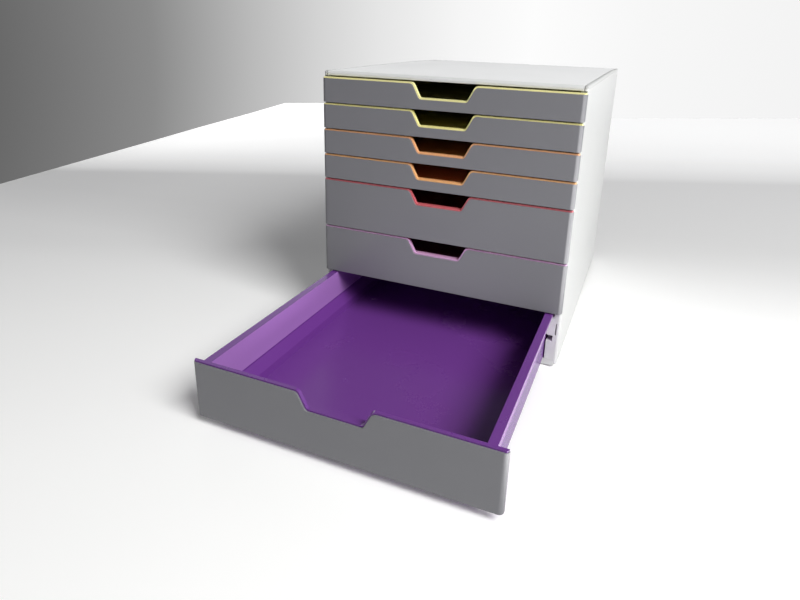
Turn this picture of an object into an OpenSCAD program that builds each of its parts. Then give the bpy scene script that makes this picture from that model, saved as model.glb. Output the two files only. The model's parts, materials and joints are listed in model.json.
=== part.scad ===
// Plastic drawer tower: a light grey casing with seven coloured trays behind grey front covers.
// Origin on the floor under the middle of the casing, +Z up, +X right, -Y towards the user.
// The runner frames have one groove per pitch. A small drawer takes one pitch, a large one two.

/* [Tower] */
// Overall width over the side panels and the front covers
tower_w = 280; // [270:0.5:330]
// Overall depth with every drawer closed
tower_d = 356; // [320:1:420]
// Height between one runner groove and the next
pitch = 28.3; // [26:0.1:40]
// Pitches that a small drawer takes
small_places = 1; // [1:1:2]
// Pitches that a large drawer takes
large_places = 2; // [2:1:3]

/* [Casing] */
// Thickness of an outer side panel
side_t = 3.5; // [3:0.1:6]
// Radius of the casing's outer front and top edges
edge_r = 3.2; // [2:0.1:3.4]
// Width of a runner frame, from its inner face to the side panel
runner_w = 10; // [9.8:0.1:14]
// Wall thickness of the runner frames
runner_t = 1.5; // [1.2:0.1:1.8]
// Thickness of the top panel's flat plate
top_t = 2.2; // [1.8:0.1:2.8]
// Height of the fascia above the top drawer
fascia_h = 5.2; // [4.6:0.1:12]
// Depth of the fascia, front to back
fascia_t = 4; // [3.5:0.1:8]
// Drop of the top panel from its crease to its rear edge
top_fall = 2; // [0:0.1:2.2]
// Length of the falling rear part of the top panel
top_fall_run = 100; // [40:1:140]
// Thickness of the back panel
back_t = 2.5; // [2:0.1:4]
// Height of the base panel
base_h = 7.4; // [6:0.1:14]
// Thickness of the base panel's floor
base_floor_t = 2.2; // [1.8:0.1:4]
// Wall thickness of the base panel's skirt and ribs
base_rib_t = 1.8; // [1.4:0.1:3]
// Number of ribs under the base panel, each way
base_ribs = 3; // [2:1:5]
// Gap below the side panels, down to the floor
side_lift = 4.2; // [2:0.1:6]

/* [Runner grooves] */
// Clear height of a groove
groove_h = 6.6; // [6.4:0.1:9]
// Depth of a groove into the side
groove_d = 6.4; // [6:0.1:6.6]
// Length of the stop rib in each groove
stop_l = 3; // [2:0.1:6]
// Distance of the stop rib behind the casing's front
stop_in = 12; // [6:0.5:30]
// Height of the slit above each groove
slit_h = 13.2; // [8:0.1:14]
// Width of that slit
slit_w = 1; // [0.8:0.1:1.4]

/* [Drawers] */
// Distance from a cover's front face to the casing's front
front_t = 5; // [4.5:0.1:8]
// Thickness of a grey cover
cover_t = 1.4; // [1.2:0.1:2]
// Width of the solid block at each end of a cover
ear_w = 6; // [5.6:0.1:12]
// Radius of a cover's upright end edges
ear_r = 4.5; // [3:0.1:5]
// Radius of a cover's lower corners
cover_corner_r = 1.2; // [1:0.1:4]
// Gap between one cover and the next
front_gap = 1.3; // [0.8:0.1:2]
// Height of the coloured lip above the grey cover
lip_h = 1.5; // [1:0.1:3]
// Gap between a tray's front wall and the cover's end blocks
ear_gap = 0.2; // [0.1:0.05:0.5]
// Gap between a tray's underside and the rims of the tray below
tray_gap = 2; // [1.6:0.1:3]
// Gap between a tray and the base panel or a groove's floor
run_gap = 0.3; // [0.2:0.05:0.5]
// Gap between a tray's side and the runner frame
tray_side_gap = 1.2; // [0.8:0.1:2]
// Gap between a closed front and the casing
close_gap = 0.3; // [0.2:0.05:1]
// Gap between a rim's edge and the groove's wall
rim_gap = 1.9; // [0.8:0.1:2.4]
// Thickness of a tray's side wall
tray_t = 2; // [1.8:0.1:3]
// Thickness of a tray's floor and its sloping skirt
tray_floor_t = 2; // [1.6:0.1:2.4]
// Thickness of a tray's rear wall
tray_back_t = 2.2; // [1.8:0.1:3]
// Room between a closed tray and the back panel
tray_back_gap = 7; // [4:0.5:20]
// Thickness of a rim
rim_t = 2; // [1.6:0.1:2.4]
// Depth of the turned-down edge of a rim, with the rim's thickness
rim_drop = 4; // [3.4:0.1:4.4]
// Distance of a rim below the lip
rim_low = 0.4; // [0.2:0.1:0.8]
// Height at which the slope inside a tray begins, above its floor
slope_top = 19.5; // [15:0.1:20]
// Height at which that slope ends, above the floor
slope_foot = 8.5; // [4:0.1:12]
// How far the slope reaches in from the side wall
slope_in = 6.3; // [3:0.1:10]
// Height of the stop nib on a rim
nib_h = 1.3; // [1:0.1:1.6]
// Length of the stop nib
nib_l = 4; // [3:0.1:8]

/* [Finger notch] */
// Width of the coloured notch at its bottom
notch_w = 50; // [40:0.5:80]
// Depth of the notch below the lip
notch_h = 15.5; // [12:0.1:18]
// Slope of the notch's sides from level, in degrees
notch_slope = 62; // [50:1:75]
// Radius of the notch's upper corners
notch_top_r = 5; // [2:0.1:8]
// Radius of the notch's lower corners
notch_low_r = 3; // [1:0.1:5]
// Depth of the coloured ledge at the notch's bottom, behind the cover
ledge_d = 7.3; // [5:0.1:12]
// Thickness of that ledge
ledge_t = 2; // [1.5:0.1:3]

/* [Feet] */
// Diameter of a rubber foot
foot_dia = 14; // [10:0.5:24]
// How far a foot stands below the base panel
foot_h = 1.2; // [0.8:0.1:3]
// Depth of a foot's pocket in the base panel
foot_pocket = 1; // [0.6:0.1:2]
// Distance of a foot's middle from the casing's edges
foot_inset = 26; // [20:1:60]

/* [Motion] */
// How far a drawer opens before its nibs meet the stop ribs
travel = 250; // [226:1:280]
// How far the lowest drawer stands open
open_by = 225.3; // [0:0.1:250]

/* [Hidden] */
$fn = 48;

casing_grey = [0.86, 0.86, 0.85];
cover_grey = [0.42, 0.41, 0.42];
rubber_grey = [0.2, 0.2, 0.2];
tray_colour = [
    [0.93, 0.88, 0.33], [0.93, 0.84, 0.27], [0.85, 0.35, 0.13], [0.9, 0.5, 0.12],
    [0.75, 0.16, 0.25], [0.72, 0.42, 0.7], [0.44, 0.24, 0.57]
];

// Drawers are counted from the top, 0 to 6. Each one's lip stands at the top of its places.
places = [
    small_places, small_places, small_places, small_places,
    large_places, large_places, large_places
];
drawers = len(places);
function sum_from(list, i) = i >= len(list) ? 0 : list[i] + sum_from(list, i + 1);
all_places = sum_from(places, 0);
function drawer_h(i) = places[i] * pitch;
function opened(i) = i == drawers - 1 ? open_by : 0;

back_inset = 1;                         // how far the back panel stands inside the rear edges

half_w = tower_w / 2;
half_d = tower_d / 2;
panel_x = half_w - side_t;              // inner face of a side panel
bay_x = panel_x - runner_w;             // inner face of a runner frame
groove_x = bay_x + groove_d;            // bottom of the grooves
tray_x = bay_x - tray_side_gap;         // outer face of a tray's side
tray_in_x = tray_x - tray_t;            // inner face of a tray's side
rim_x = groove_x - rim_gap;             // edge of a rim

front_y = -half_d;                      // front faces of the closed covers
wall_y = front_y + cover_t;             // front faces of the trays' front walls
tray_front_y = front_y + front_t - close_gap;
casing_y = front_y + front_t;           // front of the casing
back_y = half_d;                        // rear of the side panels
back_in_y = back_y - back_inset - back_t;  // inner face of the back panel
tray_back_y = back_in_y - tray_back_gap;

base_top = foot_h + base_h;
stack_z = base_top + run_gap - tray_gap;  // bottom of the lowest place
function lip_z(i) = stack_z + sum_from(places, i) * pitch;
function tray_bottom(i) = lip_z(i) - drawer_h(i) + tray_gap;
fascia_z = lip_z(0) + front_gap;
top_z = fascia_z + fascia_h;
plate_z = top_z - top_t;

groove_floor = -rim_low - rim_drop - run_gap;  // groove heights, from the lip of the drawer it serves
groove_top = groove_floor + groove_h;
function groove_lip_z(k) = stack_z + k * pitch;

stop_y = casing_y + stop_in;            // front face of the stop ribs
nib_y = stop_y + stop_l + travel;       // front face of the nibs of a closed tray
stop_over = 0.5;                        // gap between a rim and the stop rib above it
stop_side_gap = 1;                      // how far stop ribs and nibs keep from the runner's inner face
nib_in = 1;                             // how far a nib stands in from the rim's edge
runner_face_t = 2;                      // thickness of a runner frame's front face
tongue_r = 1.5;                         // radius of the tongues' lower edges
slit_in = 2.2;                          // how far a slit stands behind the groove's bottom
slit_lift = 1;                          // how far a slit starts above its groove
seam_gap = 0.6;                         // seam between the top panel and a side panel
corner_cut_d = 3;                       // depth of the small recess in the upper front corners, beside the top lip
corner_cut_low = 0.4;                   // how far it reaches below the top of that lip
corner_cut_in = 1;                      // how far it ends inside the casing's width
lip_in = 0.5;                           // how far a lip stands in from the cover's rounded ends
wall_draft = 0.6;                       // draft of a tray's inner faces
skirt_drop = 3;                         // height of the sloping skirt's upper end, inside to outside
foot_gap = 0.1;                         // gap round a foot in its pocket
tray_joint = 0.5;                       // how far the parts of one tray run into each other
cut = 1;                                // how far a cutting shape runs past what it cuts

// Points of an arc of radius r about c, from angle a to angle b.
function arc(c, r, a, b, n = 6) = [for (i = [0:n]) c + r * [cos(a + (b - a) * i / n), sin(a + (b - a) * i / n)]];

// Upper edge of a front, left to right, with the notch set outwards by grow and the lip lowered by drop.
function notch_line(reach, z, grow, drop) =
    let (
        low = z - notch_h - grow,
        high = z - drop,
        low_x = notch_w / 2 + grow * tan(notch_slope / 2),
        high_x = low_x + (high - low) / tan(notch_slope),
        top_r = notch_top_r,
        low_r = notch_low_r + grow,
        top_back = top_r * tan(notch_slope / 2),
        low_back = low_r * tan(notch_slope / 2),
        right = concat(
            arc([low_x - low_back, low + low_r], low_r, -90, -90 + notch_slope),
            arc([high_x + top_back, high - top_r], top_r, 90 + notch_slope, 90)
        )
    )
    concat(
        [[-reach, high]],
        [for (i = [len(right) - 1:-1:0]) [-right[i][0], right[i][1]]],
        right,
        [[reach, high]]
    );

module mirrored() {
    children();
    mirror([1, 0, 0]) children();
}

// An outline in the XZ plane, extruded from y0 to y1.
module along_y(y0, y1) {
    translate([0, y1, 0]) rotate([90, 0, 0]) linear_extrude(y1 - y0) children();
}

// An outline in the YZ plane, extruded from x0 to x1.
module along_x(x0, x1) {
    translate([x0, 0, 0]) rotate([90, 0, 90]) linear_extrude(x1 - x0) children();
}

module block(from, to) {
    translate(from) cube(to - from);
}

module square_from(from, to) {
    translate(from) square(to - from);
}

// ---- Casing ----

crease_y = back_y - top_fall_run;
fall_angle = atan(top_fall / top_fall_run);

// Side view of the casing's top edge between two places, lowered by drop.
function top_line(y0, y1, drop) = [
    [y0, top_z - drop],
    [crease_y, top_z - drop],
    [y1, top_z - drop - (y1 - crease_y) * tan(fall_angle)]
];

module top_panel() {
    plate_half = panel_x - seam_gap;
    color(casing_grey) {
        along_x(-plate_half, plate_half) polygon(concat(
            arc([casing_y + edge_r, top_z - edge_r], edge_r, 180, 90, 8),
            [for (i = [1:2]) top_line(casing_y, back_y, 0)[i]],
            [for (i = [2:-1:0]) top_line(casing_y + fascia_t, back_y, top_t)[i]],
            [[casing_y + fascia_t, fascia_z], [casing_y, fascia_z]]
        ));
        mirrored() {
            // Skirt that stands on the runner frame and closes the top groove
            along_x(groove_x, plate_half) polygon(concat(
                [[casing_y + fascia_t / 2, fascia_z]],
                top_line(casing_y + fascia_t / 2, back_in_y, top_t / 2),
                [[back_in_y, fascia_z]]
            ));
            // Stop rib of the top groove
            block(
                [bay_x + stop_side_gap, stop_y, lip_z(0) - rim_low + stop_over],
                [groove_x + top_t / 2, stop_y + stop_l, plate_z + top_t / 2]
            );
        }
    }
}

module base_panel() {
    floor_z = base_top - base_floor_t;
    width = 2 * panel_x;
    depth = back_in_y - casing_y;
    color(casing_grey) difference() {
        union() {
            difference() {
                block([-panel_x, casing_y, foot_h], [panel_x, back_in_y, base_top]);
                block(
                    [-panel_x + base_rib_t, casing_y + base_rib_t, foot_h - cut],
                    [panel_x - base_rib_t, back_in_y - base_rib_t, floor_z]
                );
            }
            for (i = [1:base_ribs]) {
                rib_x = -panel_x + width * i / (base_ribs + 1);
                rib_y = casing_y + depth * i / (base_ribs + 1);
                block([rib_x - base_rib_t / 2, casing_y, foot_h], [rib_x + base_rib_t / 2, back_in_y, base_top]);
                block([-panel_x, rib_y - base_rib_t / 2, foot_h], [panel_x, rib_y + base_rib_t / 2, base_top]);
            }
            at_feet() translate([0, 0, foot_h]) cylinder(d = foot_dia + 2 * base_rib_t, h = base_h);
        }
        at_feet() translate([0, 0, foot_h - cut]) cylinder(d = foot_dia + 2 * foot_gap, h = foot_pocket + cut);
    }
}

module at_feet() {
    for (x = [-half_w + foot_inset, half_w - foot_inset])
        for (y = [casing_y + foot_inset, back_y - foot_inset])
            translate([x, y, 0]) children();
}

module rubber_feet() {
    color(rubber_grey) at_feet() cylinder(d = foot_dia, h = foot_h + foot_pocket);
}

module back_panel() {
    color(casing_grey)
        block([-panel_x, back_in_y, foot_h], [panel_x, back_in_y + back_t, plate_z - top_fall]);
}

// Right-hand skin: the outline seen from the side, rounded along its outer front and top edges.
module side_panel() {
    outer = half_w - edge_r;
    difference() {
        side_skin(outer);
        corner_cut(panel_x - cut, half_w - corner_cut_in, corner_cut_d);
    }
}

// Recess between the top lip and the top panel, from x0 to x1.
module corner_cut(x0, x1, depth) {
    block([x0, casing_y - cut, lip_z(0) - corner_cut_low], [x1, casing_y + depth, fascia_z]);
}

module side_skin(outer) {
    intersection() {
        along_x(panel_x, half_w) polygon(concat(
            [[casing_y, side_lift]],
            arc([casing_y + edge_r, top_z - edge_r], edge_r, 180, 90, 8),
            [for (i = [1:2]) top_line(casing_y, back_y, 0)[i]],
            [[back_y, side_lift]]
        ));
        linear_extrude(top_z + cut) union() {
            square_from([panel_x - cut, casing_y], [outer, back_y + cut]);
            square_from([panel_x - cut, casing_y + edge_r], [half_w, back_y + cut]);
            translate([outer, casing_y + edge_r]) circle(edge_r);
        }
        along_y(casing_y - cut, back_y + cut) union() {
            square_from([panel_x - cut, 0], [outer, top_z]);
            square_from([panel_x - cut, 0], [half_w, top_z - edge_r]);
            translate([outer, top_z - edge_r]) circle(edge_r);
        }
    }
}

module left_side_panel() {
    color(casing_grey) mirror([1, 0, 0]) side_panel();
}

module right_side_panel() {
    color(casing_grey) side_panel();
}

// Cross-section of the right-hand runner frame: a thin wall folded round the grooves, open to the side panel.
module runner_section() {
    difference() {
        runner_outline();
        // Room behind the grooves
        square_from([groove_x + runner_t, base_top + runner_t], [panel_x + cut, fascia_z - runner_t]);
        // Room between one groove and the next
        for (k = [1:all_places])
            square_from(
                [bay_x + runner_t, (k == 1 ? base_top : groove_lip_z(k - 1) + groove_top) + runner_t],
                [panel_x + cut, groove_lip_z(k) + groove_floor - runner_t]
            );
    }
}

module runner_outline() {
    difference() {
        square_from([bay_x, base_top], [panel_x, fascia_z]);
        for (k = [1:all_places])
            square_from(
                [bay_x - cut, groove_lip_z(k) + groove_floor],
                [groove_x, groove_lip_z(k) + groove_top]
            );
        // Rounded lower edge of each tongue between two grooves
        for (k = [1:all_places - 1]) difference() {
            tongue_z = groove_lip_z(k) + groove_top;
            square_from([bay_x - cut, tongue_z - tongue_r / 2], [bay_x + tongue_r, tongue_z + tongue_r]);
            translate([bay_x + tongue_r, tongue_z + tongue_r]) circle(tongue_r);
        }
    }
}

module runner_frame() {
    slit_x = groove_x + slit_in;
    along_y(casing_y + runner_face_t, back_in_y) runner_section();
    difference() {
        along_y(casing_y, casing_y + runner_face_t) runner_outline();
        corner_cut(groove_x - cut, panel_x + cut, runner_face_t);
        for (k = [1:all_places - 1]) {
            slit_z = groove_lip_z(k) + groove_top + slit_lift;
            block([slit_x, casing_y - cut, slit_z], [slit_x + slit_w, casing_y + runner_face_t + cut, slit_z + slit_h]);
        }
    }
    for (k = [1:all_places - 1])
        block(
            [bay_x + stop_side_gap, stop_y, groove_lip_z(k) - rim_low + stop_over],
            [groove_x + runner_t / 2, stop_y + stop_l, groove_lip_z(k) + groove_top + runner_t / 2]
        );
}

module left_runner_frame() {
    color(casing_grey) mirror([1, 0, 0]) runner_frame();
}

module right_runner_frame() {
    color(casing_grey) runner_frame();
}

// ---- Drawers ----

// Half of a tray's cross-section, right of the middle: floor, slope, side wall and turned-down rim.
function tray_half(i) =
    let (
        bottom = tray_bottom(i),
        floor_z = bottom + tray_floor_t,
        rim_z = lip_z(i) - rim_low,
        foot_x = tray_in_x - slope_in
    )
    [
        [foot_x - wall_draft + tray_floor_t, bottom],
        [foot_x + tray_floor_t, floor_z + slope_foot - tray_floor_t / 2],
        [tray_in_x, floor_z + slope_top - skirt_drop],
        [tray_in_x, bottom],
        [tray_x, bottom],
        [tray_x, rim_z - rim_t],
        [rim_x - rim_t, rim_z - rim_t],
        [rim_x - rim_t, rim_z - rim_drop],
        [rim_x, rim_z - rim_drop],
        [rim_x, rim_z],
        [tray_in_x, rim_z],
        [tray_in_x - wall_draft / 2, floor_z + slope_top],
        [foot_x, floor_z + slope_foot],
        [foot_x - wall_draft, floor_z]
    ];

// A front seen from above: rounded at both ends, set in by inset and cut off in front of y0.
module front_outline(y0, inset) {
    end_x = half_w - ear_r;
    r = ear_r - inset;
    square_from([-end_x, y0], [end_x, tray_front_y]);
    for (side = [-1, 1]) intersection() {
        translate([side * end_x, front_y + ear_r]) union() {
            circle(r);
            square_from([-r, 0], [r, ear_r]);
        }
        square_from([-half_w, y0], [half_w, tray_front_y]);
    }
}

module tray(i) {
    half = tray_half(i);
    last = len(half) - 1;
    bottom = tray_bottom(i);
    rim_z = lip_z(i) - rim_low;
    notch_z = lip_z(i) - notch_h;
    wall_half = half_w - ear_w - ear_gap;
    ledge_half = notch_w / 2 + notch_low_r;
    ledge_y = wall_y + ledge_d;
    color(tray_colour[i]) translate([0, -opened(i), 0]) {
        along_y(tray_front_y - tray_joint, tray_back_y - tray_joint)
            polygon(concat(half, [for (j = [last:-1:0]) [-half[j][0], half[j][1]]]));
        along_y(wall_y, tray_front_y) polygon(concat(
            notch_line(wall_half, lip_z(i), 0, 0),
            [[wall_half, bottom], [-wall_half, bottom]]
        ));
        // Ends of the lip, over the cover's end blocks
        translate([0, 0, lip_z(i) - lip_h]) linear_extrude(lip_h) difference() {
            front_outline(wall_y, lip_in);
            square_from([-wall_half + tray_joint, front_y], [wall_half - tray_joint, tray_front_y + cut]);
        }
        block([-tray_x, tray_back_y - tray_back_t, bottom], [tray_x, tray_back_y, rim_z]);
        // Ledge along the bottom of the finger notch
        translate([0, 0, notch_z - ledge_t]) linear_extrude(ledge_t) polygon(concat(
            [[-ledge_half, tray_front_y - tray_joint]],
            arc([-ledge_half + notch_low_r, ledge_y - notch_low_r], notch_low_r, 180, 90),
            arc([ledge_half - notch_low_r, ledge_y - notch_low_r], notch_low_r, 90, 0),
            [[ledge_half, tray_front_y - tray_joint]]
        ));
        mirrored() block(
            [bay_x + stop_side_gap, nib_y, rim_z - rim_t / 2],
            [rim_x - nib_in, nib_y + nib_l, rim_z + nib_h]
        );
    }
}

module front_cover(i) {
    low = lip_z(i) - drawer_h(i) + front_gap;
    high = lip_z(i) - lip_h;
    r = cover_corner_r;
    color(cover_grey) translate([0, -opened(i), 0]) intersection() {
        translate([0, 0, low]) linear_extrude(high - low) difference() {
            front_outline(front_y, 0);
            square_from([-half_w + ear_w, wall_y], [half_w - ear_w, tray_front_y + cut]);
        }
        along_y(front_y - cut, tray_front_y + cut) polygon(concat(
            notch_line(half_w, lip_z(i), lip_h, lip_h),
            arc([half_w - r, low + r], r, 0, -90),
            arc([-half_w + r, low + r], r, -90, -180)
        ));
    }
}

module yellow_tray_1() tray(0);
module yellow_tray_2() tray(1);
module orange_tray_3() tray(2);
module orange_tray_4() tray(3);
module red_tray_5() tray(4);
module pink_tray_6() tray(5);
module violet_tray_7() tray(6);

module front_cover_1() front_cover(0);
module front_cover_2() front_cover(1);
module front_cover_3() front_cover(2);
module front_cover_4() front_cover(3);
module front_cover_5() front_cover(4);
module front_cover_6() front_cover(5);
module front_cover_7() front_cover(6);

top_panel();
base_panel();
back_panel();
left_side_panel();
right_side_panel();
left_runner_frame();
right_runner_frame();
rubber_feet();
yellow_tray_1();
yellow_tray_2();
orange_tray_3();
orange_tray_4();
red_tray_5();
pink_tray_6();
violet_tray_7();
front_cover_1();
front_cover_2();
front_cover_3();
front_cover_4();
front_cover_5();
front_cover_6();
front_cover_7();
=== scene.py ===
# %% [markdown]
# # A plastic drawer tower, dressed in Blender
# The tower stands on a desk: a light grey casing with seven coloured trays behind grey fronts.
# Its solids come from the imported model, in metres, with the origin on the floor under the casing.
# This lesson adds what a moulded plastic product shows up close: eased edges, a fine mould texture, slow
# changes of tone and dust on top. It also paints light and shade into colours: paler upright walls in the
# trays, and shade in and beside the lid's joints.

# %% The imported model and its box
import json
import math

import bpy
from mathutils import Matrix, Vector

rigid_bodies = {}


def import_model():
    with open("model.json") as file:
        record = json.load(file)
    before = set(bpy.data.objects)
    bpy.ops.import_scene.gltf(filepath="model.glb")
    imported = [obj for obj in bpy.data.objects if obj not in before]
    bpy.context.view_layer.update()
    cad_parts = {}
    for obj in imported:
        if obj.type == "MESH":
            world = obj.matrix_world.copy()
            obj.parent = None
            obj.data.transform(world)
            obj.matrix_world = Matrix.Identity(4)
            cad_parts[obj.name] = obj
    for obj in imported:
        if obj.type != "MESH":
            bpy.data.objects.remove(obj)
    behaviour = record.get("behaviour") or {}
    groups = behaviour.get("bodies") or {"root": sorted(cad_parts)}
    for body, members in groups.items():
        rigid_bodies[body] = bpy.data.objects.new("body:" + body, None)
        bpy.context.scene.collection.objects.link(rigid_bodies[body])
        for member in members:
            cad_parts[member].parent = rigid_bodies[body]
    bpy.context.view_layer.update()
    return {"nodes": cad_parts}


for start_object in list(bpy.data.objects):
    bpy.data.objects.remove(start_object)

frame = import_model()
nodes = frame["nodes"]


def rounded(numbers):
    return [round(number, 4) for number in numbers]


# %% [markdown]
# ## The camera
# The picture was taken with a wide lens from a little above the top and to the right of the middle.
# A camera that is turned by hand would never meet the same corners. The position, the lens and the
# small shift come from matching the tower's corners, so the matrix is written out: its columns are
# the camera's right, up and backward directions.

# %% Camera
camera_place = Vector((0.2000, -0.7436, 0.3425))
camera_right = Vector((0.92056, 0.38968, 0.02671))
camera_up = Vector((-0.14405, 0.27516, 0.95055))
camera_back = camera_right.cross(camera_up).normalized()

camera_data = bpy.data.cameras.new("studio_camera")
camera_data.sensor_width = 36.0
camera_data.lens = 26.414
camera_data.shift_x = -0.0104
camera_data.shift_y = -0.1015
camera_data.clip_start = 0.02
camera_data.clip_end = 40.0

camera = bpy.data.objects.new("studio_camera", camera_data)
turn = Matrix((camera_right, camera_up, camera_back)).transposed()
camera.matrix_world = Matrix.Translation(camera_place) @ turn.to_4x4()
bpy.context.scene.collection.objects.link(camera)
bpy.context.scene.camera = camera
print("camera", rounded(camera_place), "lens", camera_data.lens)

# %% [markdown]
# ## The desk
# The tower stands on a plain white desk top. One endless floor would do, but a desk with a far edge
# gives the same calm horizon as the picture. Its thickness never shows, so one flat face is enough.

# %% Desk top, with its corners in metres
desk_corners = [
    (-2.0, -4.0), (4.0, -4.0), (4.0, 2.35), (0.80, 2.40), (0.03, 1.895), (-1.25, 1.63),
    (-1.37, 1.54), (-1.30, 1.20), (-1.233, 0.833), (-1.174, 0.547), (-1.076, 0.043),
]

desk_mesh = bpy.data.meshes.new("desk")
desk_mesh.from_pydata([(x, y, 0) for x, y in desk_corners], [], [range(len(desk_corners))])
desk_mesh.update()
desk = bpy.data.objects.new("desk", desk_mesh)
bpy.context.scene.collection.objects.link(desk)
print("desk corners", len(desk_corners))

# %% [markdown]
# ## Light
# Daylight comes in through a window, high on the right and a little in front of the tower. A sun lamp
# would be simpler, but its shadows have hard edges. One wide area lamp lights the top and the right
# side, shades the fronts softly and throws the tower's shadow to the left over the desk.
# Light that falls into the open tray bounces about in it and up again. A render follows only a few of
# those bounces, so a small weak lamp in the tray stands for the rest: it faces up, and neither the
# camera nor the mirroring plastic sees it.

# %% A helper for area lamps
def area_lamp(name, watts, width, depth):
    lamp = bpy.data.lights.new(name, "AREA")
    lamp.energy = watts
    lamp.shape = "RECTANGLE"
    lamp.size, lamp.size_y = width, depth
    thing = bpy.data.objects.new(name, lamp)
    bpy.context.scene.collection.objects.link(thing)
    print(name, "lamp", watts, "W")
    return thing


# %% The window
tower_middle = Vector((0.0, -0.1, 0.12))
window_distance = 2.4


def towards(around, above):
    """Direction to a lamp, in degrees round from the front to the right and up from the desk."""
    around, above = math.radians(around), math.radians(above)
    level = math.cos(above)
    return Vector((math.sin(around) * level, -math.cos(around) * level, math.sin(above)))


to_window = towards(around=60, above=42)
window = area_lamp("window", watts=73.0, width=1.2, depth=1.1)
window.location = tower_middle + window_distance * to_window
window.rotation_euler = (-to_window).to_track_quat("-Z", "Y").to_euler()
print("window at", rounded(window.location))

# %% The weak lamp in the open tray
tray_fill = area_lamp("tray_fill", watts=0.16, width=0.2, depth=0.12)
tray_fill.location = (0.02, -0.28, 0.045)
tray_fill.rotation_euler = (math.radians(180), 0, 0)
tray_fill.visible_camera = False
tray_fill.visible_glossy = False
print("tray lamp at", rounded(tray_fill.location))

# %% [markdown]
# ## Steps that every shader repeats
# The room, the desk and all the plastics are built from the same few nodes. Placing them one by one
# works for a single material, but here it would bury the recipe. Small functions that add one step
# each, and hand back the socket with its result, let the recipes below read like sums.

# %% Steps with numbers
def feed(tree, socket, value):
    """Give a socket either a plain number or what another node puts out."""
    if isinstance(value, (int, float)):
        socket.default_value = value
    else:
        tree.links.new(value, socket)


def math_node(tree, operation, *values):
    node = tree.nodes.new("ShaderNodeMath")
    node.operation = operation
    for socket, value in zip(node.inputs, values):
        feed(tree, socket, value)
    return node.outputs[0]


def product(tree, value, *factors):
    for factor in factors:
        value = math_node(tree, "MULTIPLY", value, factor)
    return value


def span(tree, value, low, high, bottom=0.0, top=1.0, curve="LINEAR"):
    """Go from bottom to top while the value goes from low to high."""
    node = tree.nodes.new("ShaderNodeMapRange")
    node.interpolation_type = curve
    limits = {"From Min": low, "From Max": high, "To Min": bottom, "To Max": top}
    for label, number in limits.items():
        node.inputs[label].default_value = number
    tree.links.new(value, node.inputs["Value"])
    return node.outputs["Result"]


# %% Steps with places and tones
def coordinates(tree, kind):
    return tree.nodes.new("ShaderNodeTexCoord").outputs[kind]


def axes_of(tree, vector):
    node = tree.nodes.new("ShaderNodeSeparateXYZ")
    tree.links.new(vector, node.inputs[0])
    return node.outputs["X"], node.outputs["Y"], node.outputs["Z"]


def tone_along(tree, value, low, high, stops):
    """A grey tone that follows the value through its stops, each a place and a tone."""
    ramp = tree.nodes.new("ShaderNodeValToRGB")
    marks = ramp.color_ramp.elements
    positions = [(place - low) / (high - low) for place, tone in stops]
    marks[0].position, marks[1].position = positions[0], positions[-1]
    for position in positions[1:-1]:
        marks.new(position)
    for mark, (place, tone) in zip(marks, stops):
        mark.color = (tone, tone, tone, 1)
    tree.links.new(span(tree, value, low, high), ramp.inputs["Fac"])
    return ramp.outputs["Color"]


# %% [markdown]
# ## The room
# A real room does three things here: it fills the shadows with a little light, the glossy plastic
# mirrors it, and its wall closes the picture. A panorama wrapped round the scene could do all three,
# but then none of them could be set by itself. So the world has three parts: a dim fill for every
# ray, pale sides that only mirror rays meet, and a wall that only the camera sees. Its X, Y and Z
# tell how far a ray goes to the right, to the rear and up.

# %% An empty world
world = bpy.data.worlds.new("room")
bpy.context.scene.world = world
world.use_nodes = True
room = world.node_tree
room.nodes.clear()

look_x, look_y, look_z = axes_of(room, coordinates(room, "Generated"))
room_path = room.nodes.new("ShaderNodeLightPath").outputs
print("world", world.name)

# %% What polished faces mirror: a wall on the left, one in the rear and the open space in front
left_strength = 0.43
rear_strength = 1.6
front_strength = 0.6

leftward = math_node(room, "MAXIMUM", math_node(room, "MULTIPLY", look_x, -1.0), 0.0)
left_side = product(room, leftward, left_strength, span(room, look_y, low=-0.3, high=0.3))

rear_side = product(
    room, math_node(room, "MAXIMUM", look_y, 0.0), rear_strength,
    span(room, look_z, low=-0.14, high=0.12, bottom=0.25, top=1.1),
    span(room, look_z, low=0.25, high=0.55, bottom=1.0, top=0.1),
)

front_side = product(
    room, span(room, look_x, low=-0.55, high=-0.05), span(room, look_y, low=0.0, high=-0.8),
    front_strength,
)
print("mirrored: left", left_strength, "rear", rear_strength, "front", front_strength)

# %% The fill for every ray, with the mirrored sides for mirror rays
fill_strength = 0.09

sides = math_node(room, "ADD", math_node(room, "ADD", left_side, rear_side), front_side)
mirrored = product(room, sides, room_path["Is Glossy Ray"])
room_light = room.nodes.new("ShaderNodeBackground")
room_light.inputs["Color"].default_value = (0.98, 0.98, 1.0, 1)
room.links.new(math_node(room, "ADD", mirrored, fill_strength), room_light.inputs["Strength"])
print("room fill", fill_strength)

# %% The wall that the camera sees, dark at the far left
wall_stops = [
    (-0.88, 0.10), (-0.714, 0.254), (-0.607, 0.485), (-0.519, 0.651), (-0.431, 0.79),
    (-0.311, 0.92), (-0.2, 0.98), (-0.03, 0.93), (0.2, 0.90),
]

wall = room.nodes.new("ShaderNodeBackground")
wall_tone = tone_along(room, look_x, low=-1.0, high=0.25, stops=wall_stops)
room.links.new(wall_tone, wall.inputs["Color"])

either = room.nodes.new("ShaderNodeMixShader")
room.links.new(room_path["Is Camera Ray"], either.inputs["Fac"])
room.links.new(room_light.outputs[0], either.inputs[1])
room.links.new(wall.outputs[0], either.inputs[2])
room.links.new(either.outputs[0], room.nodes.new("ShaderNodeOutputWorld").inputs["Surface"])
bpy.context.scene.view_settings.view_transform = "Standard"
print("room nodes", len(room.nodes))

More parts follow.
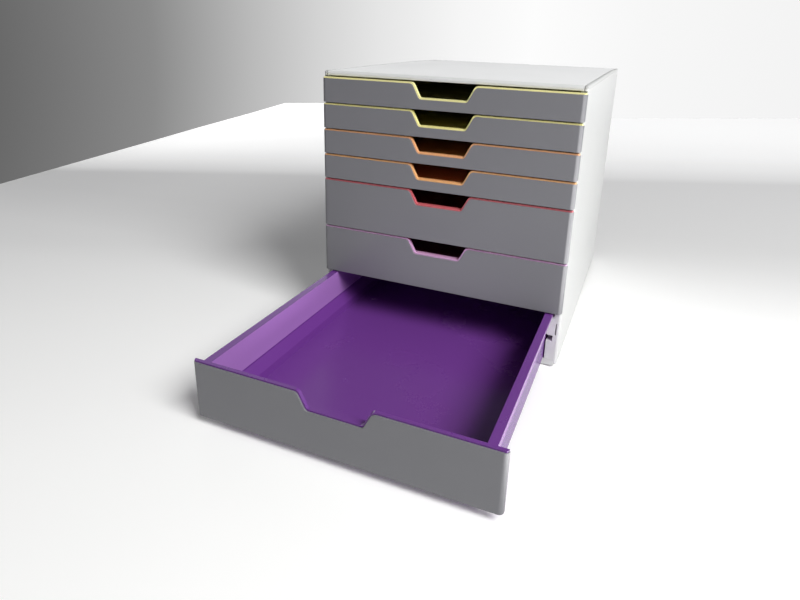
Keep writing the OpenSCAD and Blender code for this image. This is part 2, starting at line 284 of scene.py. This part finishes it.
# %% [markdown]
# ## Eased edges
# Moulded plastic has no knife edges: each one has a radius of a few tenths of a millimetre. Radii that
# small would make the solids heavy, so they come from modifiers: a weld joins the loose triangles,
# a planar clean-up makes whole faces of them, a bevel rounds the corners, and weighted normals keep
# the large faces flat. In between, a node group shades the faces smoothly and keeps creases sharp.

# %% Smooth shading that stops at creases
crease_angle = math.radians(20)


def smooth_group():
    group = bpy.data.node_groups.new("smooth_faces", "GeometryNodeTree")
    group.interface.new_socket("Geometry", in_out="INPUT", socket_type="NodeSocketGeometry")
    group.interface.new_socket("Geometry", in_out="OUTPUT", socket_type="NodeSocketGeometry")
    entry = group.nodes.new("NodeGroupInput")
    leave = group.nodes.new("NodeGroupOutput")
    smooth = group.nodes.new("GeometryNodeSetShadeSmooth")
    crease = group.nodes.new("GeometryNodeSetShadeSmooth")
    crease.domain = "EDGE"
    crease.inputs["Shade Smooth"].default_value = False
    angle = group.nodes.new("GeometryNodeInputMeshEdgeAngle")
    steep = group.nodes.new("FunctionNodeCompare")
    steep.operation = "GREATER_THAN"
    steep.inputs[1].default_value = crease_angle
    group.links.new(entry.outputs[0], smooth.inputs["Geometry"])
    group.links.new(angle.outputs["Unsigned Angle"], steep.inputs[0])
    group.links.new(steep.outputs["Result"], crease.inputs["Selection"])
    group.links.new(smooth.outputs["Geometry"], crease.inputs["Geometry"])
    group.links.new(crease.outputs["Geometry"], leave.inputs[0])
    return group


smooth_faces = smooth_group()
print("group", smooth_faces.name)

# %% Modifiers for a moulded piece
weld_distance = 0.00001
flat_angle = math.radians(0.8)
edge_angle = math.radians(35)
edge_steps = 2


def ease_edges(thing, radius):
    weld = thing.modifiers.new("weld", "WELD")
    weld.merge_threshold = weld_distance
    whole = thing.modifiers.new("whole_faces", "DECIMATE")
    whole.decimate_type = "DISSOLVE"
    whole.angle_limit = flat_angle
    smooth = thing.modifiers.new("smooth", "NODES")
    smooth.node_group = smooth_faces
    bevel = thing.modifiers.new("edge_radius", "BEVEL")
    bevel.limit_method = "ANGLE"
    bevel.angle_limit = edge_angle
    bevel.width = radius
    bevel.segments = edge_steps
    bevel.use_clamp_overlap = True
    shade = thing.modifiers.new("even_shading", "WEIGHTED_NORMAL")
    shade.keep_sharp = True


print("edges rounded in", edge_steps, "steps")

# %% [markdown]
# ## Effects that several plastics share
# Up close, plastic is never one even tone. The mould's spark-eroded texture breaks up its gloss, its
# colour drifts slowly, and dust lies on faces that look up. The upright walls of the trays are also
# painted paler: painted light, for the light that shines through them and bounces about in the tray.
# Painted pictures could carry all this, but noise needs no picture and has no seams.
# Two node groups hold it, one for the texture and one for the tone. Each is built once and placed in
# every plastic with its own numbers.

# %% Helpers for node groups
def new_group(name, inputs, outputs):
    group = bpy.data.node_groups.new(name, "ShaderNodeTree")
    kinds = {"value": "NodeSocketFloat", "colour": "NodeSocketColor"}
    for label, kind, value in inputs:
        socket = group.interface.new_socket(label, in_out="INPUT", socket_type=kinds[kind])
        socket.default_value = value
    for label, kind in outputs:
        group.interface.new_socket(label, in_out="OUTPUT", socket_type=kinds[kind])
    return group, group.nodes.new("NodeGroupInput"), group.nodes.new("NodeGroupOutput")


def noise(tree, where, scale, detail=2.0, roughness=0.5):
    node = tree.nodes.new("ShaderNodeTexNoise")
    node.inputs["Scale"].default_value = scale
    node.inputs["Detail"].default_value = detail
    node.inputs["Roughness"].default_value = roughness
    tree.links.new(where, node.inputs["Vector"])
    return node.outputs[0]


# %% Mould texture: a fine grain over a faint wave
def mould_texture_group():
    group, entry, leave = new_group(
        "mould_texture",
        [("Grain", "value", 0.7), ("Wave", "value", 0.3)],
        [("Height", "value")],
    )
    where = coordinates(group, "Object")
    grain = noise(group, where, scale=1500.0, detail=3.0, roughness=0.6)
    wave = noise(group, where, scale=90.0, detail=1.0)
    fine = product(group, grain, entry.outputs["Grain"])
    broad = product(group, wave, entry.outputs["Wave"])
    group.links.new(math_node(group, "ADD", fine, broad), leave.inputs["Height"])
    return group


mould_texture = mould_texture_group()
print("group", mould_texture.name)

# %% Helpers for colours: one colour over another, and a colour made lighter or darker
def mixed(tree, under, over, share, way="MIX"):
    node = tree.nodes.new("ShaderNodeMix")
    node.data_type = "RGBA"
    node.blend_type = way
    feed(tree, node.inputs["Factor"], share)
    tree.links.new(under, node.inputs["A"])
    tree.links.new(over, node.inputs["B"])
    return node.outputs["Result"]


def scaled(tree, colour, amount):
    node = tree.nodes.new("ShaderNodeVectorMath")
    node.operation = "SCALE"
    tree.links.new(colour, node.inputs[0])
    tree.links.new(amount, node.inputs["Scale"])
    return node.outputs[0]


# %% Painted light: a tray's upright sides above the slope inside it are painted paler
upright_from, upright_to = 0.96, 0.999
slope_top = 0.42


def thinned(tree, colour, normal_x, amount):
    """Paint light on a colour: paler on upright walls above the slope. A gamma below 1 pales it and keeps
    its hue.
    """
    sideways = math_node(tree, "ABSOLUTE", normal_x)
    upright = span(tree, sideways, upright_from, upright_to, curve="SMOOTHSTEP")
    height_share = axes_of(tree, coordinates(tree, "Generated"))[2]
    upper = math_node(tree, "GREATER_THAN", height_share, slope_top)
    thinness = product(tree, upright, upper, amount)
    paler = tree.nodes.new("ShaderNodeGamma")
    tree.links.new(colour, paler.inputs["Color"])
    tree.links.new(math_node(tree, "SUBTRACT", 1.0, thinness), paler.inputs["Gamma"])
    return paler.outputs["Color"]


# %% Plastic tone: painted light on upright walls, slow drift, and dust that also takes the gloss away
def plastic_tone_group():
    group, entry, leave = new_group(
        "plastic_tone",
        [
            ("Colour", "colour", (0.8, 0.8, 0.8, 1)),
            ("Drift", "value", 0.05),
            ("Dust", "value", 0.05),
            ("Dust Colour", "colour", (0.75, 0.73, 0.70, 1)),
            ("Roughness", "value", 0.4),
            ("Roughness Drift", "value", 0.08),
            ("Painted Wall Light", "value", 0.0),
        ],
        [("Colour", "colour"), ("Roughness", "value")],
    )
    given = entry.outputs
    where = coordinates(group, "Object")
    slow = noise(group, where, scale=14.0, detail=3.0)
    specks = noise(group, where, scale=700.0, detail=4.0, roughness=0.7)
    normal = group.nodes.new("ShaderNodeNewGeometry").outputs["Normal"]
    normal_x, _, normal_z = axes_of(group, normal)

    drift = math_node(group, "SUBTRACT", slow, 0.5)
    shade = math_node(group, "ADD", product(group, drift, given["Drift"]), 1.0)
    toned = scaled(group, thinned(group, given["Colour"], normal_x, given["Painted Wall Light"]), shade)
    lying = math_node(group, "MAXIMUM", normal_z, 0.0)
    dust = product(group, lying, specks, given["Dust"])
    group.links.new(mixed(group, toned, given["Dust Colour"], dust), leave.inputs["Colour"])

    uneven = product(group, drift, given["Roughness Drift"])
    rough = math_node(group, "ADD", given["Roughness"], uneven)
    group.links.new(math_node(group, "ADD", rough, dust), leave.inputs["Roughness"])
    return group


plastic_tone = plastic_tone_group()
print("group", plastic_tone.name)

# %% [markdown]
# ## Moulded plastic
# Casing, fronts and trays are the same kind of plastic in other colours. The casing is a satin, the
# fronts are a little smoother, and the trays are the glossiest. The feet are coarse, dull rubber.
# A material could be built for each, but they differ only in a few numbers, so one function makes
# them all. Colours are given as a screen shows them and turned into the amounts of light that a
# shader works with.

# %% A recipe for plastic
plastic_ior = 1.49
relief_depth = 0.0002


def plastic(name, colour, roughness, grain=0.7, bump=0.12, drift=0.05, dust=0.05, thin=0.0):
    material = bpy.data.materials.new(name)
    material.use_nodes = True
    tree = material.node_tree
    shader = tree.nodes["Principled BSDF"]
    shader.inputs["IOR"].default_value = plastic_ior
    tone = tree.nodes.new("ShaderNodeGroup")
    tone.node_tree = plastic_tone
    tone.inputs["Colour"].default_value = (*colour, 1)
    tone.inputs["Drift"].default_value = drift
    tone.inputs["Dust"].default_value = dust
    tone.inputs["Roughness"].default_value = roughness
    tone.inputs["Painted Wall Light"].default_value = thin
    texture = tree.nodes.new("ShaderNodeGroup")
    texture.node_tree = mould_texture
    texture.inputs["Grain"].default_value = grain
    relief = tree.nodes.new("ShaderNodeBump")
    relief.inputs["Strength"].default_value = bump
    relief.inputs["Distance"].default_value = relief_depth
    tree.links.new(tone.outputs["Colour"], shader.inputs["Base Color"])
    tree.links.new(tone.outputs["Roughness"], shader.inputs["Roughness"])
    tree.links.new(texture.outputs["Height"], relief.inputs["Height"])
    tree.links.new(relief.outputs["Normal"], shader.inputs["Normal"])
    return material


def srgb(*channels):
    """Turn red, green and blue as a screen shows them, 0 to 255, into amounts of light."""
    shares = [channel / 255.0 for channel in channels]
    return tuple(
        share / 12.92 if share <= 0.04045 else ((share + 0.055) / 1.055) ** 2.4 for share in shares
    )


# %% Casing, fronts and feet
casing_grey = plastic("casing_grey", srgb(207, 208, 207), roughness=0.38, drift=0.02)
cover_grey = plastic("cover_grey", srgb(116, 116, 120), roughness=0.3, drift=0.04)
foot_rubber = plastic("foot_rubber", srgb(40, 40, 40), roughness=0.75, grain=1.0, bump=0.3)
print("plastics", casing_grey.name, cover_grey.name, foot_rubber.name)

# %% Trays, from the top down
# Each tray set gives its gloss and how much paler its upright walls are painted, which is painted light.
glossy_tray = {"roughness": 0.24, "thin": 0.35}
violet_finish = {"roughness": 0.26, "thin": 0.45, "dust": 0.015}

tray_plastics = {
    "yellow_tray_1": plastic("yellow_one", srgb(250, 243, 172), **glossy_tray),
    "yellow_tray_2": plastic("yellow_two", srgb(251, 242, 164), **glossy_tray),
    "orange_tray_3": plastic("orange_three", srgb(241, 176, 126), **glossy_tray),
    "orange_tray_4": plastic("orange_four", srgb(244, 184, 124), **glossy_tray),
    "red_tray_5": plastic("red", srgb(206, 98, 108), **glossy_tray),
    "pink_tray_6": plastic("pink_violet", srgb(204, 160, 202), **glossy_tray),
    "violet_tray_7": plastic("violet", srgb(104, 52, 134), **violet_finish),
}
print("tray plastics", len(tray_plastics))

# %% [markdown]
# ## Painted shade in and beside the lid's joints
# The lid meets each side panel in a narrow joint near the rounded upper edge. The colour has painted
# shade in the joint, and painted shade on the rounded edge beside it, which the window lights more than
# the top. That edge is also made duller, which keeps its highlight down. A picture painted by hand could
# show this, but the joints are straight, so a tone that follows the distance from the middle of the tower
# is enough. A second one, which follows the height, keeps it to the top of the casing.

# %% Painted shade in and beside the joints, and duller beside them, with stops in millimetres
millimetres = 1000.0
dullness = 0.5
joint_shade_stops = [(134.8, 1.0), (135.9, 0.82), (136.2, 0.5), (136.6, 0.64), (138.0, 0.68), (139.8, 0.86)]
dull_stops = [(135.8, 0.0), (136.4, 1.0), (139.9, 1.0)]
top_stops = [(292.0, 0.0), (293.5, 1.0)]


def paint_shade_at_joints(material):
    tree = material.node_tree
    shader = tree.nodes["Principled BSDF"]
    x, _, z = axes_of(tree, coordinates(tree, "Object"))
    across = product(tree, math_node(tree, "ABSOLUTE", x), millimetres)
    height = product(tree, z, millimetres)
    joint = tone_along(tree, across, low=134.0, high=140.0, stops=joint_shade_stops)
    dull = tone_along(tree, across, low=134.0, high=140.0, stops=dull_stops)
    top = tone_along(tree, height, low=290.0, high=297.0, stops=top_stops)

    # Painted shade: the plain colour is multiplied by the joint tone near the top of the casing.
    clean = shader.inputs["Base Color"].links[0].from_socket
    tree.links.new(mixed(tree, clean, joint, top, way="MULTIPLY"), shader.inputs["Base Color"])
    satin = shader.inputs["Roughness"].links[0].from_socket
    matt = product(tree, dull, top, dullness)
    tree.links.new(math_node(tree, "ADD", satin, matt), shader.inputs["Roughness"])


paint_shade_at_joints(casing_grey)
print("joint darkest at", min(joint_shade_stops, key=lambda stop: stop[1])[0], "mm from the middle")

# %% [markdown]
# ## Finishes on the pieces
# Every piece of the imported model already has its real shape, so none is replaced. Each gets its
# plastic and an edge radius. The radius could differ on every edge, but on this tower one per kind of
# piece is enough: trays are moulded a little sharper than the casing and the fronts.

# %% Finishes and edges for the model's pieces, with the radii in metres
casing_radius = 0.0005
cover_radius = 0.0005
tray_radius = 0.0004
foot_radius = 0.0003


def finish_piece(name, material, radius):
    thing = nodes[name]
    thing.data.materials.clear()
    thing.data.materials.append(material)
    ease_edges(thing, radius)


for name in nodes:
    if name in tray_plastics:
        finish_piece(name, tray_plastics[name], tray_radius)
    elif name.startswith("front_cover"):
        finish_piece(name, cover_grey, cover_radius)
    elif name == "rubber_feet":
        finish_piece(name, foot_rubber, foot_radius)
    else:
        finish_piece(name, casing_grey, casing_radius)
print("finished", len(nodes), "pieces")

# %% [markdown]
# ## The desk's colour and painted shade
# The desk is a white satin board with faint clouds, and beyond the tower it has painted shade that makes
# it greyer. One flat white would look like empty space. The clouds are noise between two close whites,
# and the painted shade is a tone along a line that crosses the desk at a slight angle, because such a
# line fits what the picture shows.

# %% Desk material and distances over the desk
desk_white = bpy.data.materials.new("desk_white")
desk_white.use_nodes = True
board = desk_white.node_tree
board_shader = board.nodes["Principled BSDF"]
board_shader.inputs["Roughness"].default_value = 0.35
board_spot = coordinates(board, "Object")
board_x, board_y, _ = axes_of(board, board_spot)


def board_distance(across, back, start=0.0):
    """Metres over the desk in one direction, which is given by its parts to the right and back."""
    sideways = product(board, board_x, across)
    backward = product(board, board_y, back)
    return math_node(board, "ADD", math_node(board, "ADD", sideways, backward), start)


print("desk material", desk_white.name)

# %% Faint clouds, and painted shade beyond the tower
desk_shade_stops = [(-0.6, 1.0), (-0.48, 0.94), (-0.37, 0.81), (-0.3, 0.75), (-0.2, 0.72)]

clouds = board.nodes.new("ShaderNodeValToRGB")
clouds.color_ramp.elements[0].color = (0.90, 0.90, 0.89, 1)
clouds.color_ramp.elements[1].color = (0.93, 0.93, 0.92, 1)
board.links.new(noise(board, board_spot, scale=3.0), clouds.inputs["Fac"])

beyond_tower = board_distance(across=-0.114, back=0.910, start=-0.4865)
# Painted shade: a grey band over the desk beyond the tower.
grey = tone_along(board, beyond_tower, low=-1.2, high=0.1, stops=desk_shade_stops)
board_colour = mixed(board, clouds.outputs["Color"], grey, 1.0, way="MULTIPLY")
board.links.new(board_colour, board_shader.inputs["Base Color"])
print("desk tone beyond the tower", desk_shade_stops[-1][1])

# %% [markdown]
# ## Glows on the desk
# In the picture the desk runs out to pure white at its far end and in front. Brighter lamps would do
# that, but they would burn out the tower too, so the desk has a glow there that only the camera sees.
# The rounded right ends of the fronts also mirror the sunlit part of the desk as a bright strip. That
# part is many times brighter than white, and a lamp so strong would light the whole tower. A patch
# that shines only for mirror rays, and only if no matt face has scattered them before, lights nothing
# else.

# %% The glow that the camera sees
far_stops = [(-0.03, 0.0), (0.02, 0.10), (0.12, 0.20), (0.3, 0.33), (0.6, 0.42), (0.9, 0.45)]
left_stops = [(-1.05, 1.0), (-0.7, 0.77), (0.0, 0.65)]
front_stops = [(-1.0, 0.13), (-0.8, 0.09), (-0.64, 0.05), (-0.5, 0.0)]
far_strength = 1.45

board_path = board.nodes.new("ShaderNodeLightPath").outputs
beyond = board_distance(across=-0.414, back=0.910, start=-0.6365)
far_glow = tone_along(board, beyond, low=-0.1, high=1.0, stops=far_stops)
left_share = tone_along(board, board_x, low=-1.2, high=0.2, stops=left_stops)
front_glow = tone_along(board, beyond, low=-1.2, high=-0.4, stops=front_stops)
far_glow = product(board, far_glow, left_share, far_strength)
seen_glow = product(board, math_node(board, "ADD", far_glow, front_glow), board_path["Is Camera Ray"])
print("far glow up to", round(far_stops[-1][1] * far_strength, 2), "front", front_stops[0][1])

# %% The sunlit patch that mirrors show
patch_strength = 7.0
left_edge = [(0.33, 0.0), (0.42, 1.0)]
front_edge = [(0.02, 0.0), (0.11, 1.0)]
rear_edge = [(0.04, 1.0), (0.14, 0.0)]

patch = product(
    board,
    tone_along(board, board_distance(across=1.0, back=-0.5), low=0.2, high=0.6, stops=left_edge),
    tone_along(board, board_distance(across=1.0, back=0.3), low=0.0, high=0.2, stops=front_edge),
    tone_along(board, board_distance(across=-0.25, back=1.0), low=-0.1, high=0.2, stops=rear_edge),
)
not_scattered = math_node(board, "LESS_THAN", board_path["Diffuse Depth"], 0.5)
first_mirror = product(board, not_scattered, board_path["Is Glossy Ray"])
mirror_glow = product(board, patch, first_mirror, patch_strength)

board_shader.inputs["Emission Color"].default_value = (1.0, 1.0, 0.99, 1)
board.links.new(math_node(board, "ADD", seen_glow, mirror_glow), board_shader.inputs["Emission Strength"])
desk.data.materials.append(desk_white)
print("sunlit patch", patch_strength, "times white, in mirrors only")
